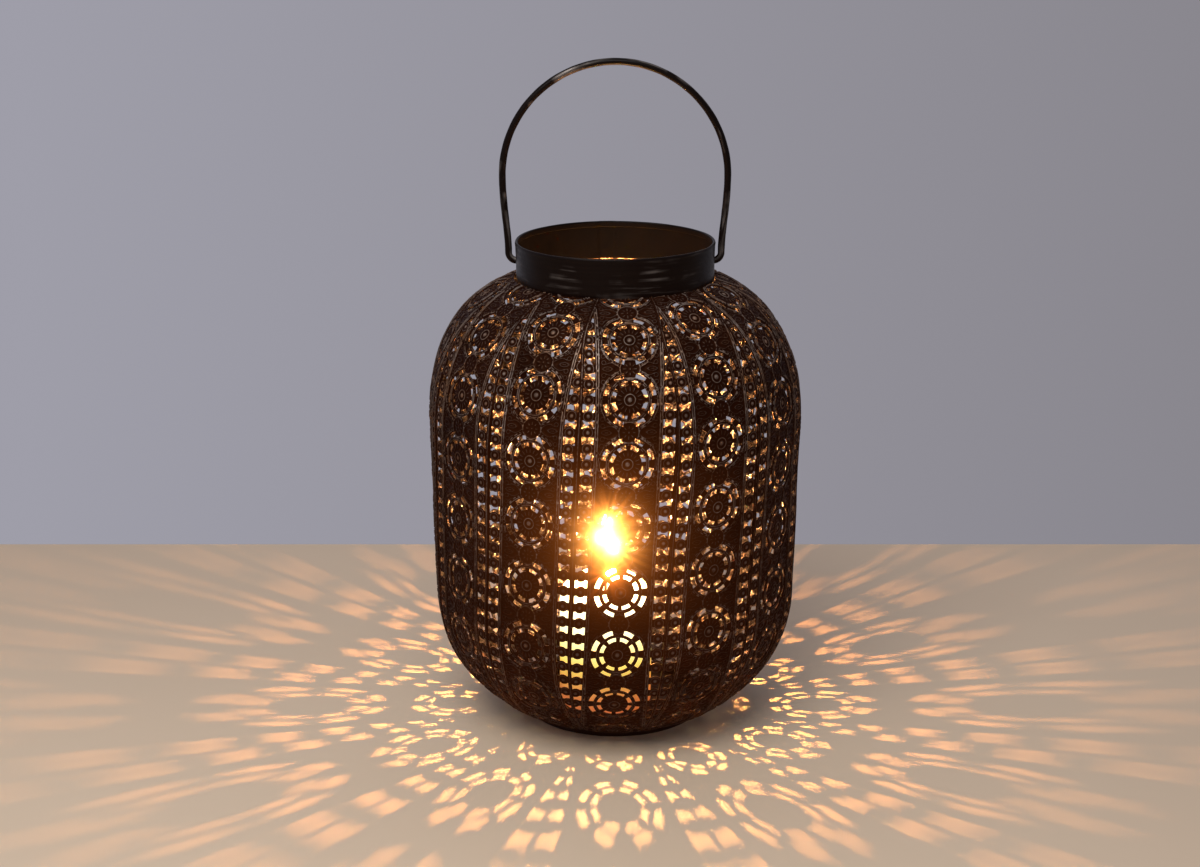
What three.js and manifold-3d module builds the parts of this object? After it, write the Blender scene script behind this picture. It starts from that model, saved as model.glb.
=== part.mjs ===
// Moroccan metal lantern: twelve stamped sheet-metal gores stand on a foot ring and close on a
// plain neck collar. A wire bail swings in two holes of the collar, and a pillar candle stands
// on the floor plate inside.
// Millimetres, +Z up. The origin is the centre of the foot ring on the surface it stands on.

import * as THREE from 'three';
import { mergeVertices } from 'three/addons/utils/BufferGeometryUtils.js';
import Module from 'manifold-3d';

const wasm = await Module();
wasm.setup();

// ---------------------------------------------------------------- driving dimensions

const touchingGap = 0.3;
const bandSheet = 0.8;
const goreSheet = 0.6;

// Body: the gores' outline, as radius over height
const bodyRadius = 105;
const goreCount = 12;
const goreAlong = 20;
const goreAcross = 4;
const sideTaper = 0.02;
const lowerCurveHeight = 78;
const lowerCurveDepth = 72.7;
const shoulderBase = 178;
const shoulderHeight = 80.8;
const shoulderDepth = 68.9;
const shoulderFullness = 2.2;
const facetSoftness = 0.5;
const facetMean = 0.98;
const firstGoreTurn = THREE.MathUtils.degToRad(2.4);
const goreCrowding = THREE.MathUtils.degToRad(2);
const goreLean = THREE.MathUtils.degToRad(7.2);

// Neck collar: a plain band with its upper edge folded in
const collarRadius = 55.9;
const collarBottom = 253;
const collarTop = 277.5;
const hemWidth = 3.6;
const hemRound = 0.7;

// Foot ring and floor plate
const footRadius = 51.7;
const footHeight = 7;
const footLip = 5;
const footLipHeight = 1.2;

// Bail: round wire, its two ends turned in through the collar
const wireRadius = 1.95;
const wireHoleRadius = 2.5;
const pivotHeight = 265.8;
const bailRadius = 62.3;
const bailArchBase = 313.6;
const bailFootX = 59.3;
const bailBend = 4.5;
const bailStub = 4.4;
const bailLegPullLow = 0.3;
const bailLegPullHigh = 0.4;

// Pillar candle, set down a little off the axis
const candleRadius = 27;
const candleShift = -5.1;
const candleHeight = 70;
const candleRound = 1.5;
const poolRadius = 21.7;
const poolDepth = 2.6;
const poolRimDrop = 0.3;
const poolBedRise = 0.15;
const wickRadius = 0.9;
const wickHeight = 8.5;

// Facets of the round shapes
const roundSegments = 60;
const candleSegments = 32;
const drillSegments = 24;
const wickSegments = 10;
const wireSides = 4;
const wireSteps = 100;
const cornerSteps = 3;
const outlineDivisions = 1200;
const halvings = 40;

// ---------------------------------------------------------------- shared helpers

const lantern = new THREE.Group();

function addPiece(name, geometry, finish) {
  const mesh = new THREE.Mesh(geometry, new THREE.MeshStandardMaterial(finish));
  mesh.name = name;
  lantern.add(mesh);
}

const blackenedSteel = { color: 0x2a2019, roughness: 0.5, metalness: 0.8 };
const bronzedSteel = { color: 0x3a2a1e, roughness: 0.45, metalness: 0.85 };
const wax = { color: 0xf0e4cc, roughness: 0.55, metalness: 0 };
const cotton = { color: 0x2b2622, roughness: 0.95, metalness: 0 };

// A body of revolution about Z from [radius, height] points
function revolve(profile, segments = roundSegments) {
  const points = profile.map(([radius, height]) => new THREE.Vector2(radius, height));
  return new THREE.LatheGeometry(points, segments).rotateX(Math.PI / 2);
}

// Points of a quarter circle in the profile plane, from one angle to another
function corner(centreRadius, centreHeight, round, fromDegrees, toDegrees, steps = cornerSteps) {
  const points = [];
  for (let i = 0; i <= steps; i += 1) {
    const angle = THREE.MathUtils.degToRad(THREE.MathUtils.lerp(fromDegrees, toDegrees, i / steps));
    points.push([centreRadius + round * Math.cos(angle), centreHeight + round * Math.sin(angle)]);
  }
  return points;
}

function toSolid(geometry) {
  const bare = geometry.clone();
  bare.deleteAttribute('normal');
  bare.deleteAttribute('uv');
  const merged = mergeVertices(bare);
  return new wasm.Manifold(new wasm.Mesh({
    numProp: 3,
    vertProperties: new Float32Array(merged.getAttribute('position').array),
    triVerts: new Uint32Array(merged.getIndex().array),
  }));
}

function toGeometry(solid) {
  const mesh = solid.getMesh();
  const geometry = new THREE.BufferGeometry();
  geometry.setAttribute('position', new THREE.BufferAttribute(mesh.vertProperties, 3));
  geometry.setIndex(new THREE.BufferAttribute(mesh.triVerts, 1));
  geometry.computeVertexNormals();
  return geometry;
}

// ---------------------------------------------------------------- body outline

// Radius of the body's outer face at a height: a straight side that tapers a little towards
// the foot, rounded in below by an ellipse and above by a fuller curve.
function outlineRadius(height) {
  if (height > shoulderBase) {
    const rise = Math.min((height - shoulderBase) / shoulderHeight, 1);
    const full = (1 - rise ** shoulderFullness) ** (1 / shoulderFullness);
    return bodyRadius - shoulderDepth * (1 - full);
  }
  const side = bodyRadius - sideTaper * (shoulderBase - height);
  const drop = Math.max(lowerCurveHeight - height, 0) / lowerCurveHeight;
  return side - lowerCurveDepth * (1 - Math.sqrt(1 - drop ** 2));
}

// The height at which the outline reaches a radius, between two heights that bracket it
function heightAtRadius(radius, low, high) {
  let [a, b] = [low, high];
  const rising = outlineRadius(high) > outlineRadius(low);
  for (let i = 0; i < halvings; i += 1) {
    const middle = (a + b) / 2;
    if ((outlineRadius(middle) < radius) === rising) a = middle;
    else b = middle;
  }
  return (a + b) / 2;
}

const goreEndGap = touchingGap + goreSheet / 2;
const goreBottom = heightAtRadius(footRadius + goreEndGap, footLipHeight, shoulderBase / 2);
const goreTop = heightAtRadius(collarRadius + goreEndGap, shoulderBase, shoulderBase + shoulderHeight);

class BodyOutline extends THREE.Curve {
  getPoint(t, target = new THREE.Vector2()) {
    const height = THREE.MathUtils.lerp(goreBottom, goreTop, t);
    return target.set(outlineRadius(height), height);
  }
}

const outline = new BodyOutline();
outline.arcLengthDivisions = outlineDivisions;

// ---------------------------------------------------------------- gores

// One gore is a thin box, bent to the outline along its length and to a softly flattened arc
// across its width. Its middle line leans a little, as the hand-set panels do, and the gores stand
// a little closer together in front than at the back.
function gore(middleTurn) {
  const halfWidth = Math.PI / goreCount;
  const geometry = new THREE.BoxGeometry(1, 1, 1, goreAcross, goreAlong, 1);
  const position = geometry.getAttribute('position');
  for (let i = 0; i < position.count; i += 1) {
    const along = position.getY(i) + 0.5;
    const point = outline.getPointAt(along);
    const tangent = outline.getTangentAt(along);
    const across = position.getX(i) * 2;
    const turn = across * (halfWidth - touchingGap / 2 / (point.x - goreSheet));
    const softness = facetSoftness * Math.sqrt(4 * along * (1 - along));
    const facet = 1 + softness * (Math.cos(halfWidth) / Math.cos(turn) - facetMean);
    const depth = (0.5 - position.getZ(i)) * goreSheet;
    const radius = point.x * facet - depth * tangent.y;
    const height = point.y + depth * tangent.x;
    const lean = goreLean * (point.y / collarTop - 0.5);
    const evenTurn = middleTurn + turn;
    const angle = evenTurn - goreCrowding * Math.sin(evenTurn) + lean - Math.PI / 2;
    position.setXYZ(i, radius * Math.cos(angle), radius * Math.sin(angle), height);
  }
  geometry.computeVertexNormals();
  return geometry;
}

for (let i = 0; i < goreCount; i += 1) {
  const middleTurn = firstGoreTurn + (i * 2 * Math.PI) / goreCount;
  const name = `panel_${String(i + 1).padStart(2, '0')}`;
  addPiece(name, gore(middleTurn), bronzedSteel);
}

// ---------------------------------------------------------------- neck collar

const collarInner = collarRadius - bandSheet;
const hemInner = collarInner - bandSheet;
const collarProfile = [
  [collarInner, collarBottom],
  [collarRadius, collarBottom],
  ...corner(collarRadius - hemRound, collarTop - hemRound, hemRound, 0, 90),
  ...corner(hemInner + hemRound, collarTop - hemRound, hemRound, 90, 180),
  [hemInner, collarTop - hemWidth],
  [collarInner, collarTop - hemWidth],
  [collarInner, collarBottom],
];

const pivotDrill = new THREE.CylinderGeometry(wireHoleRadius, wireHoleRadius, 3 * collarRadius, drillSegments)
  .rotateZ(Math.PI / 2)
  .translate(0, 0, pivotHeight);
const collar = toSolid(revolve(collarProfile)).subtract(toSolid(pivotDrill));
addPiece('collar_band', toGeometry(collar), blackenedSteel);

// ---------------------------------------------------------------- foot ring and floor plate

const footInner = footRadius - bandSheet;
addPiece('foot_ring', revolve([
  [footRadius - footLip, 0],
  [footRadius, 0],
  [footRadius, footHeight],
  [footInner, footHeight],
  [footInner, footLipHeight],
  [footRadius - footLip, footLipHeight],
  [footRadius - footLip, 0],
]), blackenedSteel);

const plateBottom = footLipHeight + touchingGap;
const plateTop = plateBottom + bandSheet;
const plateRadius = footInner - touchingGap;
addPiece('floor_plate', revolve([
  [0, plateBottom],
  [plateRadius, plateBottom],
  [plateRadius, plateTop],
  [0, plateTop],
]), blackenedSteel);

// ---------------------------------------------------------------- bail

// The wire's middle line, drawn in the X-Z plane from one turned-in end to the other
class UprightPath extends THREE.Curve {
  constructor(path) {
    super();
    this.path = path;
  }

  getPoint(t, target = new THREE.Vector3()) {
    const point = this.path.getPoint(t);
    return target.set(point.x, 0, point.y);
  }
}

function bailPath() {
  const bendX = bailFootX - bailBend;
  const bendTop = pivotHeight + bailBend;
  const stubEnd = collarInner - bailStub;
  const legRise = bailArchBase - bendTop;
  const lowPull = bendTop + bailLegPullLow * legRise;
  const highPull = bailArchBase - bailLegPullHigh * legRise;
  const path = new THREE.Path();
  path.moveTo(-stubEnd, pivotHeight);
  path.lineTo(-bendX, pivotHeight);
  path.absarc(-bendX, bendTop, bailBend, -Math.PI / 2, -Math.PI, true);
  path.bezierCurveTo(-bailFootX, lowPull, -bailRadius, highPull, -bailRadius, bailArchBase);
  path.absarc(0, bailArchBase, bailRadius, Math.PI, 0, true);
  path.bezierCurveTo(bailRadius, highPull, bailFootX, lowPull, bailFootX, bendTop);
  path.absarc(bendX, bendTop, bailBend, 0, -Math.PI / 2, true);
  path.lineTo(stubEnd, pivotHeight);
  return path;
}

const wireSection = new THREE.Shape().absarc(0, 0, wireRadius, 0, 2 * Math.PI);
const bail = new THREE.ExtrudeGeometry(wireSection, {
  steps: wireSteps,
  curveSegments: wireSides,
  extrudePath: new UprightPath(bailPath()),
});
addPiece('bail_handle', bail, blackenedSteel);

// ---------------------------------------------------------------- candle

const candleBottom = plateTop + touchingGap;
const candleTop = candleBottom + candleHeight;
const poolFloor = candleTop - poolDepth;
addPiece('candle_wax', revolve([
  [0, candleBottom],
  ...corner(candleRadius - candleRound, candleBottom + candleRound, candleRound, -90, 0),
  ...corner(candleRadius - candleRound, candleTop - candleRound, candleRound, 0, 90),
  [poolRadius, candleTop - poolRimDrop * poolDepth],
  [poolRadius / 2, poolFloor + poolBedRise * poolDepth],
  [0, poolFloor],
], candleSegments).translate(candleShift, 0, 0), wax);

const wickBottom = poolFloor + touchingGap;
const wick = new THREE.CylinderGeometry(wickRadius, wickRadius, wickHeight, wickSegments)
  .rotateX(Math.PI / 2)
  .translate(candleShift, 0, wickBottom + wickHeight / 2);
addPiece('candle_wick', wick, cotton);

export default lantern;
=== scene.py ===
"""Moroccan metal lantern: the looks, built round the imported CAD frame.

Every gore is a pierced, stamped sheet. Its pattern is drawn flat, in millimetres across (u) and
along (s) the gore, cut into triangles, raised by its relief, and bent onto the body's outline.
Lengths are in millimetres while a piece is made and in metres on its mesh.
"""

import math
from collections import namedtuple

import bpy
import numpy as np
from mathutils import Matrix, Vector
from mathutils.geometry import delaunay_2d_cdt


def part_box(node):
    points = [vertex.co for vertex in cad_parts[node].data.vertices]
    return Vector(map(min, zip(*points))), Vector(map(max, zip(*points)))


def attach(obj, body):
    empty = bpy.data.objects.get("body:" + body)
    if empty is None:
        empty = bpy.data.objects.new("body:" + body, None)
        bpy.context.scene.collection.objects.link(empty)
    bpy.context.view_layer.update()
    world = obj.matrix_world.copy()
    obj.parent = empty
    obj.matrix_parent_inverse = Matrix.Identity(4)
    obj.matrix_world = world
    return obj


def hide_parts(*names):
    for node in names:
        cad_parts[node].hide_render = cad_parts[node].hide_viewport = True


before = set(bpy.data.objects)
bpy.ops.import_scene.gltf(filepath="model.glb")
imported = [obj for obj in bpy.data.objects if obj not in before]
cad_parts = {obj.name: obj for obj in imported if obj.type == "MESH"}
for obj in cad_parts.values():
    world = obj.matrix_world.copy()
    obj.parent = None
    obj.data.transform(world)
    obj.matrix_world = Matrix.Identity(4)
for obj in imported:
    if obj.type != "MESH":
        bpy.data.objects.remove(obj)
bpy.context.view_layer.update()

MM = 0.001
FULL_TURN = 2 * math.pi

# ---------------------------------------------------------------- sizes

# Body outline, the same as the CAD gores follow
BODY_RADIUS = 105.0
GORE_COUNT = 12
SIDE_TAPER = 0.02
LOWER_CURVE_HEIGHT = 78.0
LOWER_CURVE_DEPTH = 72.7
SHOULDER_BASE = 178.0
SHOULDER_HEIGHT = 80.8
SHOULDER_DEPTH = 68.9
SHOULDER_FULLNESS = 2.2
FACET_SOFTNESS = 0.5
FACET_MEAN = 0.98
FIRST_GORE_TURN = math.radians(2.4)
GORE_CROWDING = math.radians(2.0)
GORE_LEAN = math.radians(7.2)
GORE_HALF_TURN = math.pi / GORE_COUNT
OUTLINE_FOOT_GAP = 0.2
OUTLINE_POINTS = 6000

# Unevenness of a hand-finished surface, as sine waves: height, waves round, turn per mm up, phase
BODY_WAVES = ((0.16, 3, 0.045, 0.0), (0.12, 7, -0.083, 1.3), (0.09, 13, 0.12, 0.4), (0.05, 24, -0.21, 0.0))
COLLAR_WAVES = ((0.16, 3, 0.0, 0.6), (0.09, 8, 0.11, 0.0), (0.05, 17, 0.35, 1.0))
FOOT_WAVES = ((0.1, 3, 0.0, 2.0), (0.06, 11, 0.5, 0.0))
WAX_WAVES = ((0.12, 5, 0.05, 0.0), (0.1, 9, -0.11, 0.0))

# Stamped sheet, and how a gore's left edge laps over its neighbour
SHEET = 0.45
LAP_WIDTH = 0.8
LAP_LIFT = 0.5
LAP_SLOPE_START = 0.3
LAP_SLOPE_END = 1.1
LAP_LINE = 0.2
LAP_LINE_HALF = 0.55
LAP_LINE_HEIGHT = 0.35
LAP_LINE_SHINE = 0.6
RIGHT_EDGE_GAP = 0.15
EDGE_LEFT_CLEAR = 1.1
EDGE_RIGHT_CLEAR = 0.55
END_CLEAR = 1.2
RELIEF_LEFT_CLEAR = 0.8
RELIEF_RIGHT_CLEAR = 0.7
RELIEF_FADE = 0.5
FULL_RELIEF = 0.8

# Pattern: medallions down the middle, a rib each side, beads and bow-tie holes outside them.
# A ring has its radius, half width and height, and the points that are drawn round it.
Ring = namedtuple("Ring", "radius half height points")
Spokes = namedtuple("Spokes", "count start end half points")
Slot = namedtuple("Slot", "radii middle half points")

PITCH = 35.45
RING_OUTER = 15.3
RING_INNER = 11.1
OUTER_RINGS = (Ring(RING_OUTER, 0.42, 0.9, 56), Ring(RING_OUTER + 0.85, 0.42, 0.75, 56))
INNER_RINGS = (
    Ring(RING_INNER - 0.5, 0.48, 0.95, 44),
    Ring(RING_INNER + 0.5, 0.48, 0.95, 44),
    Ring(3.0, 0.55, 0.75, 20),
)
HUB_DOME = 1.65
HUB_HEIGHT = 0.75
SPOKES = Spokes(count=16, start=4.0, end=7.4, half=0.5, points=5)
SPOKE_HEIGHT = 0.55
SPOKE_FADE = 0.5
SLOTS = (
    Slot((7.85, 10.1), math.radians(22.5), math.radians(15.0), 5),
    Slot((7.85, 10.1), math.radians(67.5), math.radians(15.0), 5),
    Slot((12.15, 14.85), math.radians(22.5), math.radians(13.2), 6),
    Slot((11.95, 14.45), math.radians(64.0), math.radians(12.4), 6),
)
LINK_RING = Ring(5.5, 0.55, 0.7, 26)
LINK_CLEAR = 0.7
LINK_DOME = 0.9
LINK_DOME_HEIGHT = 0.6
PETALS = Spokes(count=8, start=1.45, end=4.2, half=0.55, points=4)
RIB_LINES = (16.95, 18.2)
RIB_HALF = 0.6
RIB_HEIGHT = 0.85
BEAD_COLUMN = 22.25
BEADS_PER_MEDALLION = 4
BEAD_PITCH = PITCH / BEADS_PER_MEDALLION
BEAD_RING = Ring(2.6, 0.5, 0.6, 16)
BEAD_DOME = 1.3
BEAD_HEIGHT = 0.75
BOWTIE_HALF_WIDTH = 3.4
BOWTIE_HALF_END = 2.2
BOWTIE_ARC = 3.15
BOWTIE_POINTS = 9

# Circles drawn inside each dome, as shares of its radius and the points round them
HUB_CIRCLES = ((1.0, 12), (0.8, 10), (0.4, 6))
LINK_CIRCLES = ((1.0, 8),)
BEAD_CIRCLES = ((1.0, 10), (0.75, 8))

# The leaf beside each link ring: an almond, a stem and three scrolls, in one quarter (u, s)
STEM_HALF_WIDTH = 0.36
STEM_HEIGHT = 0.5
STEM_SHARES = (0, 0.34, 0.67, 1)
STEMS = (
    ((9.3, 0.0), (10.7, 0.9), (12.3, 1.25), (13.9, 0.9), (15.2, 0.0)),
    ((10.2, 0.0), (14.2, 0.0)),
    ((6.2, 1.2), (7.8, 2.5), (9.6, 3.3), (11.4, 3.3), (13.0, 2.6)),
    ((11.3, 5.1), (12.5, 5.7), (13.4, 6.9)),
)
SCROLLS = (((14.3, 3.5), 1.15), ((14.6, 7.0), 1.1), ((15.5, 10.7), 0.65))
SCROLL_POINTS = 10
QUARTERS = ((1, 1), (-1, 1), (-1, -1), (1, -1))

# Where each gore's lowest medallion sits along it, and how far its middle ones are pushed up
GORE_SHIFTS = (15.9, 24.5, 0.1, 5.0, 31.0, 13.5, 24.0, 2.5, 17.0, 28.5, 7.7, 16.6)
GORE_PUSHES = (2.0, 0.0, 0.6, -1.1, 1.4, 0.3, -0.9, 1.2, -0.4, 0.8, 0.2, 0.0)
PUSH_MIDDLE = 178.0
PUSH_REACH = 50.0
PUSH_TOP = 268.0
PUSH_TOP_REACH = 25.0
PUSH_TOP_SHARE = 1.1

# The seams run a little to the left on the shoulder
SEAM_SHIFT = 3.0
SEAM_SHIFT_MIDDLE = 262.0
SEAM_SHIFT_REACH = 22.0

# Spacing of the extra points that a flat sheet is cut along
EDGE_STEP = 1.6
END_POINTS = 18
RIB_START = 0.6
RIB_STEP = 1.8
LAP_LINES = (LAP_LINE - 0.5, LAP_LINE, LAP_LINE + 0.5, 1.05)
GRID_HALF = 27
GRID_COLUMNS = 19
GRID_STEP = 3.0
MERGE_DISTANCE = 1e-4
LEAST_AREA = 1e-7


# ---------------------------------------------------------------- body outline


def waves(table, turn, z):
    return sum(height * np.sin(count * turn + twist * z + phase) for height, count, twist, phase in table)


def bell(value, middle, reach):
    return np.exp(-(((value - middle) / reach) ** 2))


def outline_radius(z):
    """Radius of the body's outer face at the heights z."""
    rise = np.clip((z - SHOULDER_BASE) / SHOULDER_HEIGHT, 0, 1)
    full = (1 - rise**SHOULDER_FULLNESS) ** (1 / SHOULDER_FULLNESS)
    shoulder = BODY_RADIUS - SHOULDER_DEPTH * (1 - full)
    side = BODY_RADIUS - SIDE_TAPER * (SHOULDER_BASE - z)
    drop = np.clip((LOWER_CURVE_HEIGHT - z) / LOWER_CURVE_HEIGHT, 0, 1)
    lower = side - LOWER_CURVE_DEPTH * (1 - np.sqrt(1 - drop**2))
    return np.where(z > SHOULDER_BASE, shoulder, lower)


class Outline:
    """The outline between the foot and the collar, by distance s along it."""

    def __init__(self):
        low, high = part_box("panel_01")
        self.z = np.linspace(low.z / MM + OUTLINE_FOOT_GAP, high.z / MM, OUTLINE_POINTS)
        self.r = outline_radius(self.z)
        steps = np.hypot(np.diff(self.z), np.diff(self.r))
        self.along = np.concatenate([[0], np.cumsum(steps)])
        self.length = float(self.along[-1])
        r_slope = np.gradient(self.r, self.along)
        z_slope = np.gradient(self.z, self.along)
        slope = np.hypot(r_slope, z_slope)
        self.normal_r = z_slope / slope
        self.normal_z = -r_slope / slope
        self.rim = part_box("collar_band")[1].z / MM

    def radius(self, s):
        return np.interp(s, self.along, self.r)

    def half_width(self, s):
        return self.radius(s) * GORE_HALF_TURN

    def place(self, u, s, height, middle_turn):
        """Row-frame points of the flat points (u, s), raised by height off the outer face."""
        s = np.clip(s, 0, self.length)
        r = self.radius(s)
        z = np.interp(s, self.along, self.z)
        turn = u / r
        folded = GORE_HALF_TURN - np.abs(GORE_HALF_TURN - np.abs(turn))
        share = s / self.length
        softness = FACET_SOFTNESS * np.sqrt(np.clip(4 * share * (1 - share), 0, 1))
        facet = 1 + softness * (math.cos(GORE_HALF_TURN) / np.cos(folded) - FACET_MEAN)
        even_turn = middle_turn + turn
        height = height + waves(BODY_WAVES, even_turn, z)
        radius = r * facet + height * np.interp(s, self.along, self.normal_r)
        level = z + height * np.interp(s, self.along, self.normal_z)
        lean = GORE_LEAN * (z / self.rim - 0.5)
        angle = even_turn - GORE_CROWDING * np.sin(even_turn) + lean - math.pi / 2
        return np.column_stack([radius * np.cos(angle), radius * np.sin(angle), level]) * MM


outline = Outline()


# ---------------------------------------------------------------- flat pattern


def ridge(distance, half_width, height):
    return height * np.clip(1 - (distance / half_width) ** 2, 0, 1)


def dome(distance, radius, height):
    return height * np.sqrt(np.clip(1 - (distance / radius) ** 2, 0, 1))


def rings(distance, table):
    return np.maximum.reduce([ridge(distance - ring.radius, ring.half, ring.height) for ring in table])


def spokes(x, y, kind):
    """Relief of the short straight bars that stand round a centre."""
    r = np.hypot(x, y)
    step = FULL_TURN / kind.count
    off = (np.arctan2(y, x) + step / 2) % step - step / 2
    fade_in = np.clip((r - kind.start) / SPOKE_FADE, 0, 1)
    fade_out = np.clip((kind.end - r) / SPOKE_FADE, 0, 1)
    return ridge(r * np.sin(off), kind.half, SPOKE_HEIGHT) * fade_in * fade_out


def segment_distance(x, y, start, end):
    """Distance of points to a straight segment."""
    along = np.subtract(end, start)
    x = x - start[0]
    y = y - start[1]
    share = np.clip((x * along[0] + y * along[1]) / np.dot(along, along), 0, 1)
    return np.hypot(x - share * along[0], y - share * along[1])


def leaves(across, off):
    """Relief of the leaves beside a link ring."""
    lines = [segment_distance(across, off, *ends) for stem in STEMS for ends in zip(stem, stem[1:])]
    curls = [np.hypot(across - spot[0], off - spot[1]) - radius for spot, radius in SCROLLS]
    return np.maximum.reduce([ridge(line, STEM_HALF_WIDTH, STEM_HEIGHT) for line in lines + curls])


def from_nearest(s, stations):
    """Signed distance from each s to its nearest station."""
    middles = (stations[1:] + stations[:-1]) / 2
    return s - stations[np.searchsorted(middles, s)]


def bowtie_half(across):
    arc = BEAD_PITCH / 2 - np.sqrt(np.clip(BOWTIE_ARC**2 - across**2, 0, None))
    return np.minimum(arc, BOWTIE_HALF_END)


class Pattern:
    """Where one gore's medallions, links, beads and bow-ties sit along it."""

    def __init__(self, shift, push):
        even = shift + PITCH * np.arange(-2, int(outline.length / PITCH) + 3)
        up = bell(even, PUSH_MIDDLE, PUSH_REACH)
        down = PUSH_TOP_SHARE * bell(even, PUSH_TOP, PUSH_TOP_REACH)
        self.medallions = even + push * (up - down)
        last = len(even) - 1
        bead = 1 / BEADS_PER_MEDALLION
        self.links = self.between(np.arange(0.5, last))
        self.beads = self.between(np.arange(0, last, bead))
        self.bowties = self.between(np.arange(bead / 2, last, bead))

    def between(self, places):
        return np.interp(places, np.arange(len(self.medallions)), self.medallions)

    def in_hole(self, u, s):
        t = from_nearest(s, self.medallions)
        r = np.hypot(u, t)
        turn = np.arctan2(np.abs(t), np.abs(u))
        across = np.abs(np.abs(u) - BEAD_COLUMN)
        off = np.abs(from_nearest(s, self.bowties))
        holes = (across < BOWTIE_HALF_WIDTH) & (off < bowtie_half(across))
        for slot in SLOTS:
            near, far = slot.radii
            holes |= (r > near) & (r < far) & (np.abs(turn - slot.middle) < slot.half)
        return holes

    def relief(self, u, s):
        """Height of the stamped relief above the sheet."""
        t = from_nearest(s, self.medallions)
        link_t = np.abs(from_nearest(s, self.links))
        across = np.abs(u)
        r = np.hypot(u, t)
        from_link = np.hypot(u, link_t)
        middle = np.maximum.reduce([
            np.where(from_link > LINK_RING.radius + LINK_CLEAR, rings(r, OUTER_RINGS), 0),
            rings(r, INNER_RINGS),
            dome(r, HUB_DOME, HUB_HEIGHT),
            spokes(u, t, SPOKES),
            rings(from_link, (LINK_RING,)),
            spokes(u, link_t, PETALS),
            dome(from_link, LINK_DOME, LINK_DOME_HEIGHT),
            leaves(across, link_t),
        ])
        from_bead = np.hypot(across - BEAD_COLUMN, from_nearest(s, self.beads))
        beads = np.maximum(rings(from_bead, (BEAD_RING,)), dome(from_bead, BEAD_DOME, BEAD_HEIGHT))
        return np.maximum.reduce([
            np.where(across < RIB_LINES[0] - RIB_HALF, middle, 0),
            *(ridge(across - line, RIB_HALF, RIB_HEIGHT) for line in RIB_LINES),
            np.where(across > RIB_LINES[1], beads, 0),
        ])


def circle_points(centre, radius, count):
    turns = np.arange(count) * FULL_TURN / count
    return np.column_stack([centre[0] + radius * np.cos(turns), centre[1] + radius * np.sin(turns)])


def slot_loop(slot):
    """Outline of a slot, a sector of a ring."""
    turns = slot.middle + np.linspace(-slot.half, slot.half, slot.points)
    unit = np.column_stack([np.cos(turns), np.sin(turns)])
    return np.concatenate([unit * slot.radii[0], unit[::-1] * slot.radii[1]])


def bowtie_loop(centre):
    across = np.linspace(-1, 1, BOWTIE_POINTS) * BOWTIE_HALF_WIDTH
    top = np.column_stack([across, bowtie_half(np.abs(across))])
    return np.concatenate([top, top[::-1] * (1, -1)]) + centre


class Drawing:
    """Points and edges that the flat sheet is cut along."""

    def __init__(self):
        self.points = []
        self.edges = []
        self.count = 0

    def add(self, points):
        self.points.append(np.asarray(points, float))
        self.count += len(points)

    def add_loop(self, points):
        first = self.count
        self.add(points)
        n = len(points)
        self.edges += [(first + i, first + (i + 1) % n) for i in range(n)]

    def add_ring(self, centre, ring):
        for offset in (-ring.half, 0, ring.half):
            self.add(circle_points(centre, ring.radius + offset, ring.points))

    def add_dome(self, centre, radius, circles):
        for share, count in circles:
            self.add(circle_points(centre, radius * share, count))
        self.add([centre])

    def add_bar(self, places, side, half):
        """Three rows of points along a straight bar: its middle line and its two sides."""
        for place in places:
            self.add([place + w * side for w in (-half, 0, half)])

    def add_spokes(self, centre, kind):
        for k in range(kind.count):
            turn = k * FULL_TURN / kind.count
            out = np.array([math.cos(turn), math.sin(turn)])
            places = [centre + r * out for r in np.linspace(kind.start, kind.end, kind.points)]
            self.add_bar(places, np.array([-out[1], out[0]]), kind.half)


def draw_medallion(drawing, centre):
    for ring in OUTER_RINGS + INNER_RINGS:
        drawing.add_ring(centre, ring)
    drawing.add_dome(centre, HUB_DOME, HUB_CIRCLES)
    drawing.add_spokes(centre, SPOKES)
    for mirror in QUARTERS:
        for slot in SLOTS:
            drawing.add_loop(slot_loop(slot) * mirror + centre)


def draw_link(drawing, centre):
    """The small flower ring between two medallions and the leaves beside it."""
    drawing.add_ring(centre, LINK_RING)
    drawing.add_dome(centre, LINK_DOME, LINK_CIRCLES)
    drawing.add_spokes(centre, PETALS)
    for mirror in QUARTERS:
        for stem in STEMS:
            for start, end in zip(stem, stem[1:]):
                along = np.subtract(end, start)
                out = along / np.linalg.norm(along)
                places = [(start + share * along) * mirror + centre for share in STEM_SHARES]
                drawing.add_bar(places, np.array([-out[1], out[0]]) * mirror, STEM_HALF_WIDTH)
        for spot, radius in SCROLLS:
            scroll = Ring(radius, STEM_HALF_WIDTH, STEM_HEIGHT, SCROLL_POINTS)
            drawing.add_ring(np.array(spot) * mirror + centre, scroll)


def draw_bead(drawing, centre):
    drawing.add_ring(centre, BEAD_RING)
    drawing.add_dome(centre, BEAD_DOME, BEAD_CIRCLES)


def edge_offsets(s, left_inset, right_inset):
    """The gore's two long edges at the stations s, moved in by the insets."""
    half = outline.half_width(s)
    shift = SEAM_SHIFT * bell(s, SEAM_SHIFT_MIDDLE, SEAM_SHIFT_REACH)
    return -half - shift + left_inset, half - shift - right_inset


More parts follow.
